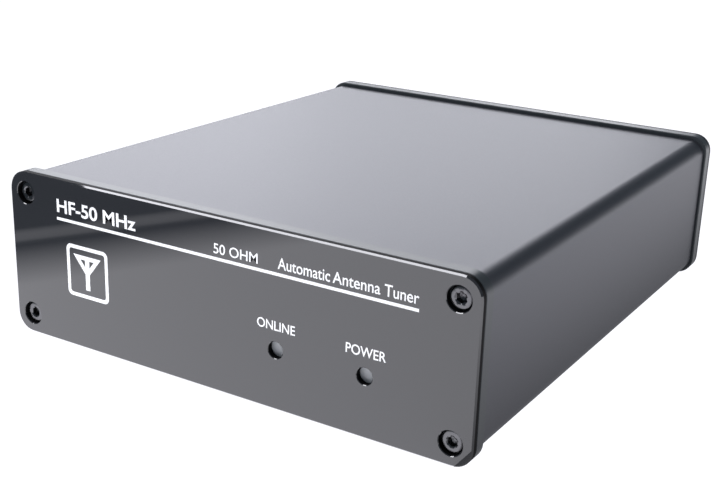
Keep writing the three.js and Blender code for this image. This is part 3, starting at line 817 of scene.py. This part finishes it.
def panel_socket(name, x, collar, sleeve, hole, depth, material):
    """A collar outside, a sleeve through the panel and a body inside, bored from the rear."""
    bm = bmesh.new()
    turned(bm, [(0, INSIDE - 9), (collar - 0.3, INSIDE - 9), (collar, INSIDE - 8.7), (collar, INSIDE),
                (sleeve, INSIDE), (sleeve, COLLAR_FRONT), (collar, COLLAR_FRONT),
                (collar, COLLAR_FACE - 0.5), (collar - 0.2, COLLAR_FACE - 0.15),
                (collar - 0.55, COLLAR_FACE), (hole + 0.5, COLLAR_FACE),
                (hole + 0.15, COLLAR_FACE - 0.12), (hole, COLLAR_FACE - 0.5),
                (hole, COLLAR_FACE - depth), (0, COLLAR_FACE - depth)], x, MID_Z)
    stand_in(name, bm, material, smooth=30)


panel_socket("supply_socket", SUPPLY_X, 5.6, 4.0, 2.8, 9.5, black_moulding)
panel_socket("control_socket", CONTROL_X, 4.5, 3.0, 1.8, 11, nickel)
bm = bmesh.new()
turned(bm, [(0, 90.7), (1.0, 90.7), (1.0, REAR + 1.3), (0.85, REAR + 1.65), (0.5, REAR + 1.88),
            (0, REAR + 1.9)], SUPPLY_X, MID_Z, 32)
stand_in("supply_socket_pin", bm, nickel)

# ---- Ground terminal -----------------------------------------------------------------------------
# An M4 stud held by a hexagon nut against the panel. The washer and the wing nut ride on their own
# bodies, since the nut runs out along the thread and takes the washer with it.
STUD_END = REAR + 14.2


def hexagon(bm, across_corners, chamfer, front, back, x, z, hole):
    """A hexagon nut or head about an axis along the depth, its corners turned down at both ends."""
    steps = 48
    loops = []
    for level, y in ((chamfer, front), (0, front + chamfer), (0, back - chamfer), (chamfer, back)):
        loop = []
        for i in range(steps):
            angle = 2 * math.pi * i / steps
            edge = hexagon_reach(across_corners * math.cos(math.pi / 6), angle)
            reach = min(edge, across_corners / 2 - level * 1.6)
            loop.append(bm.verts.new((x + reach * math.cos(angle), y, z + reach * math.sin(angle))))
        loops.append(loop)
    if hole:
        for widened, y in reversed(chamfered(front, back, 0.25)):
            loops.append([bm.verts.new((px, y, pz)) for px, pz in bore(hole, x, z, steps)(widened)])
        loops.append(loops[0])
    skin(bm, loops)
    if not hole:
        bm.faces.new(loops[0])
        bm.faces.new(loops[-1])
    bmesh.ops.recalc_face_normals(bm, faces=bm.faces)


bm = bmesh.new()
hexagon(bm, 8.0, 0.35, 93.5, INSIDE, GROUND_X, MID_Z, None)
turned(bm, [(0, 95.5), (M4_RADIUS, 95.5), (M4_RADIUS, REAR + 0.5),
            *thread_rows(M4_RADIUS, 0.4, M4_PITCH, REAR + 0.7, STUD_END - 0.5),
            (1.7, STUD_END), (0, STUD_END)], GROUND_X, MID_Z, 40)
stand_in("ground_stud", bm, nickel, smooth=30)
bm = bmesh.new()
hexagon(bm, 8.08, 0.4, REAR + 0.1, 100.8, GROUND_X, MID_Z, 2.15)
stand_in("ground_stud_nut", bm, nickel, smooth=30)
bm = bmesh.new()
turned(bm, [(2.35, 100.9), (4.35, 100.9), (4.5, 101.05), (4.5, 101.65), (4.35, 101.8), (2.35, 101.8),
            (2.25, 101.7), (2.25, 101.0)], GROUND_X, MID_Z, closed=True)
stand_in("ground_washer", bm, nickel, "ground_washer", smooth=30)

WING_FRONT = 101.9
HUB = 3.4
WING_HALF = 0.9


def absorb(bm, other):
    """Adds the solid of another bmesh, which goes."""
    carrier = bpy.data.meshes.new("carrier")
    other.to_mesh(carrier)
    other.free()
    bm.from_mesh(carrier)
    bpy.data.meshes.remove(carrier)


def bend(start, pull, end):
    """Eight points along a quadratic curve, its end among them but not its start."""
    points = []
    for i in range(1, 9):
        t = i / 8
        points.append(tuple((1 - t) ** 2 * a + 2 * t * (1 - t) * b + t * t * c
                            for a, b, c in zip(start, pull, end)))
    return points


def wing_outline():
    """One wing from the hub outwards and back, as (x, height above the hub's foot)."""
    tip = [(8.6 + 1.6 * math.cos(math.pi * i / 10), 5.8 + 1.6 * math.sin(math.pi * i / 10))
           for i in range(1, 11)]
    return [(2.6, 0.2), (4.2, 0.2), *bend((4.2, 0.2), (10, 1.2), (10.2, 5.6)), *tip,
            *bend(tip[-1], (6.4, 3.6), (2.6, HUB - 0.2))]


bm = bmesh.new()
for side in (-1, 1):
    wing = bmesh.new()
    points = [(side * x, y) for x, y in wing_outline()]
    plate(wing, [(polygon(points), [(0, -WING_HALF), (0, WING_HALF)])])
    rims = [edge for edge in wing.edges if edge.calc_face_angle() > 1.2
            and abs(edge.verts[0].co.y - edge.verts[1].co.y) < 1e-6]
    bmesh.ops.bevel(wing, geom=rims, offset=0.4, segments=3, profile=0.5, affect="EDGES")
    for vert in wing.verts:
        across, thick, up = vert.co
        vert.co = (GROUND_X + across, WING_FRONT + up, MID_Z + thick)
    absorb(bm, wing)
turned(bm, [(2.4, WING_FRONT), (4.0, WING_FRONT), (4.2, WING_FRONT + 0.2), (3.5, WING_FRONT + HUB - 0.3),
            (3.2, WING_FRONT + HUB), (2.4, WING_FRONT + HUB), (2.15, WING_FRONT + HUB - 0.25),
            (2.15, WING_FRONT + 0.25)], GROUND_X, MID_Z, closed=True)
bmesh.ops.recalc_face_normals(bm, faces=bm.faces)
stand_in("ground_wing_nut", bm, nickel, "ground_wing_nut", smooth=35)

# ---- Circuit board -------------------------------------------------------------------------------
# A green glass-epoxy board slides in the tube's slots, and the leads of everything on it are
# soldered to tinned copper.
BOARD_WIDTH = 175.4
BOARD_ENDS = (-98.8, 87.1)
BOARD_THICK = 1.6
BOARD_TOP = 15.6

# Hot-dipped solder: bright and uneven.
tin = surface("tin", "C4C6C8", metallic=1.0, roughness=0.34, grain=0.6, depth=0.006, spread=0.08)


def upright(bm):
    """Stands a solid on end: what was built along the depth is its height, and z becomes the depth."""
    for vert in bm.verts:
        vert.co = (vert.co.x, vert.co.z, vert.co.y)
    bmesh.ops.recalc_face_normals(bm, faces=bm.faces)


bm = bmesh.new()
board_outline = rounded(BOARD_WIDTH, BOARD_ENDS[1] - BOARD_ENDS[0], 1, 0, sum(BOARD_ENDS) / 2)
plate(bm, [(board_outline, [(0, BOARD_TOP - BOARD_THICK), (0, BOARD_TOP)])])
upright(bm)
stand_in("main_board", bm, resist)

# ---- Relays --------------------------------------------------------------------------------------
# Sealed miniature relays switch the steps of the network, three for the inductors and three for the
# capacitors. Each is a case on a slightly wider base, with a vent pip and a bar that marks the coil's
# end on its top. Tinned ring pads stand in a row along each side.
ROWS = [FRONT + 62 + 32 * i for i in range(3)]
COLUMNS = {"inductor": -30, "capacitor": 20}
PART_FOOT = BOARD_TOP + 0.1
PIN_PITCH = 2.54

# Glass-filled polyester, moulded blue: an even half gloss.
relay_blue = surface("relay_blue", "27477E", roughness=0.36, grain=0.5, depth=0.006, spread=0.05)


def block(bm, low, high, chamfer, segments=2):
    """A box with every edge chamfered or, with more segments, rounded."""
    made = bmesh.ops.create_cube(bm, size=1.0)["verts"]
    for vert in made:
        vert.co = [low[k] + (vert.co[k] + 0.5) * (high[k] - low[k]) for k in range(3)]
    edges = list(dict.fromkeys(edge for vert in made for edge in vert.link_edges))
    bmesh.ops.bevel(bm, geom=edges, offset=chamfer, segments=segments, profile=0.5, affect="EDGES")


bm = bmesh.new()
block(bm, (-5, -10, 0), (5, 10, 1.4), 0.15)
block(bm, (-4.85, -9.85, 1.2), (4.85, 9.85, 10.75), 0.45)
block(bm, (-3.2, 7.2, 10.6), (3.2, 7.8, 10.9), 0.05)
pip = bmesh.new()
turned(pip, [(0, 10.6), (0.9, 10.6), (0.9, 10.85), (0.75, 11.0), (0, 11.0)], 3.0, -7.5, 16)
upright(pip)
absorb(bm, pip)
relay = mesh_of("relay", bm, relay_blue)
for kind, x in COLUMNS.items():
    name = kind + "_relays_drawn"
    show(name, copies_of(name, relay, [(x, y, PART_FOOT) for y in ROWS], relay_blue),
         [f"{kind}_relay_{i}" for i in (1, 2, 3)])
bm = bmesh.new()
turned(bm, [(0.5, 0), (1.0, 0), (0.9, 0.03), (0.5, 0.03)], 0, 0, 16, closed=True)
upright(bm)
pad = mesh_of("pad", bm, tin)
pads = [(x + side * 6.6, y + step * PIN_PITCH, BOARD_TOP + 0.04) for x in COLUMNS.values() for y in ROWS
        for side in (-1, 1) for step in (-3, -2, 2, 3)]
show("board_pads", copies_of("board_pads", pad, pads, tin))

# ---- Inductors and coupler -----------------------------------------------------------------------
# Ring cores lie flat on the board, wound with enamelled wire. A geometry-nodes tree winds the wire
# round a squarish section, leaving a gap where the ends meet.

# Powdered iron, painted red: matt and a little rough.
core_paint = surface("core_paint", "9A3526", roughness=0.5, grain=0.5, depth=0.02, spread=0.08)
winding, given = new_tree("winding", [
    ("Turns", "NodeSocketFloat"), ("Ring", "NodeSocketFloat"), ("Half width", "NodeSocketFloat"),
    ("Half height", "NodeSocketFloat"), ("Wire", "NodeSocketFloat"), ("Share", "NodeSocketFloat"),
    ("Points", "NodeSocketInt"), ("Material", "NodeSocketMaterial")])


def calc(operation, first, second=0.0):
    """One sum in the winding tree."""
    return add_node(winding, "ShaderNodeMath", {0: first, 1: second}, operation=operation).outputs["Value"]


index = add_node(winding, "GeometryNodeInputIndex").outputs["Index"]
along = calc("DIVIDE", index, given["Points"])
about = calc("MULTIPLY", calc("MULTIPLY", along, given["Share"]), 2 * math.pi)
round_core = calc("MULTIPLY", calc("MULTIPLY", along, given["Turns"]), 2 * math.pi)


def squarish(wave):
    """A sine or cosine of the wire's angle round the core, flattened towards a square."""
    value = calc(wave, round_core)
    return calc("MULTIPLY", calc("SIGN", value), calc("POWER", calc("ABSOLUTE", value), 0.45))


out = calc("ADD", given["Ring"], calc("MULTIPLY", given["Half width"], squarish("COSINE")))
spot = add_node(winding, "ShaderNodeCombineXYZ", {
    "X": calc("MULTIPLY", out, calc("COSINE", about)), "Y": calc("MULTIPLY", out, calc("SINE", about)),
    "Z": calc("MULTIPLY", given["Half height"], squarish("SINE"))})
line = add_node(winding, "GeometryNodeMeshLine", {"Count": given["Points"]})
bent = add_node(winding, "GeometryNodeSetPosition", {
    "Geometry": line.outputs["Mesh"], "Position": spot.outputs["Vector"]})
path = add_node(winding, "GeometryNodeMeshToCurve", {"Mesh": bent.outputs["Geometry"]})
section = add_node(winding, "GeometryNodeCurvePrimitiveCircle", {"Resolution": 8, "Radius": given["Wire"]})
strand = add_node(winding, "GeometryNodeCurveToMesh", {
    "Curve": path.outputs["Curve"], "Profile Curve": section.outputs["Curve"], "Fill Caps": True})
wound = add_node(winding, "GeometryNodeInstanceOnPoints", {
    "Points": given["Geometry"], "Instance": strand.outputs["Mesh"]})
end_tree(winding, wound.outputs["Instances"], given["Material"])


def ring_core(bm, x, y, outer, inner, height, clearance):
    """A ring core with rounded edges, drawn in all round by the wire's clearance."""
    out, into, ease = outer - clearance, inner + clearance, 0.8
    low, high = PART_FOOT + clearance, PART_FOOT + height - clearance
    turned(bm, [(into, low + ease), (into + ease, low), (out - ease, low), (out, low + ease),
                (out, high - ease), (out - ease, high), (into + ease, high), (into, high - ease)],
           x, y, 48, closed=True)
    upright(bm)


for part, rings, (outer, inner, height), wire_size, turns in (
        ("inductor", {f"inductor_{i}": (-60, y) for i, y in enumerate(ROWS, 1)}, (14, 7, 11), 0.5, 22),
        ("coupler", {"coupler_core": (40, REAR - 40)}, (8, 4, 8), 0.35, 12)):
    for node, (x, y) in rings.items():
        bm = bmesh.new()
        ring_core(bm, x, y, outer, inner, height, 2.1 * wire_size)
        stand_in(node, bm, core_paint)
    name = part + "_winding"
    coil = grow(name, winding, [(x, y, PART_FOOT + height / 2) for x, y in rings.values()], {
        "Turns": float(turns), "Ring": (outer + inner) / 2 * MM,
        "Half width": ((outer - inner) / 2 - wire_size) * MM,
        "Half height": (height / 2 - wire_size) * MM, "Wire": wire_size * MM, "Share": 0.9,
        "Points": turns * 24, "Material": copper})
    coil.shade_smooth()
    show(name, coil)

# ---- Capacitors and microcontroller --------------------------------------------------------------
# Two dipped tuning capacitors, a can capacitor on the supply, and a flat microcontroller with a row
# of gull-wing leads on each side.
CHIP_X = -20
CHIP_Y = FRONT + 36
CHIP_HALF = 5
LEAD_PITCH = 0.8

# Fired ceramic dipped in tan resin: glossy, with gentle dimples.
dipped = surface("dipped", "B07F3F", roughness=0.36, grain=1.5, depth=0.03, spread=0.06)
for i in range(2):
    bm = bmesh.new()
    y = FRONT + 70 + 40 * i
    block(bm, (39, y - 4, PART_FOOT), (57, y + 4, PART_FOOT + 12), 3.2, 7)
    stand_in(f"tuning_capacitor_{i + 1}", bm, dipped)
bm = bmesh.new()
block(bm, (CHIP_X - CHIP_HALF, CHIP_Y - CHIP_HALF, PART_FOOT + 0.2),
      (CHIP_X + CHIP_HALF, CHIP_Y + CHIP_HALF, PART_FOOT + 1.6), 0.12)
stand_in("microcontroller", bm, black_moulding)
bm = bmesh.new()
block(bm, (-0.2, -0.5, 0.45), (0.2, 0.35, 0.6), 0.02)
block(bm, (-0.2, 0.2, 0.0), (0.2, 0.35, 0.6), 0.02)
block(bm, (-0.2, 0.2, 0.0), (0.2, 0.95, 0.15), 0.02)
lead_mesh = mesh_of("chip_lead", bm, tin)
for quarter, side in enumerate(("rear", "left", "front", "right")):
    angle = quarter * math.pi / 2
    spots = []
    for i in range(-5, 6):
        across = i * LEAD_PITCH
        spots.append((CHIP_X + across * math.cos(angle) - CHIP_HALF * math.sin(angle),
                      CHIP_Y + across * math.sin(angle) + CHIP_HALF * math.cos(angle), PART_FOOT))
    name = f"chip_leads_{side}"
    show(name, copies_of(name, lead_mesh, spots, tin, (0.0, 0.0, angle)))
bm = bmesh.new()
turned(bm, [(radius, PART_FOOT + height) for radius, height in (
    (0, 13.7), (3.9, 13.7), (4.2, 13.9), (4.7, 14), (5.0, 13.6), (5.0, 1.9), (4.75, 1.5), (5.0, 1.1),
    (5.0, 0.2), (4.8, 0), (0, 0))], -58, FRONT + 32)
upright(bm)
stand_in("filter_capacitor", bm, black_moulding)
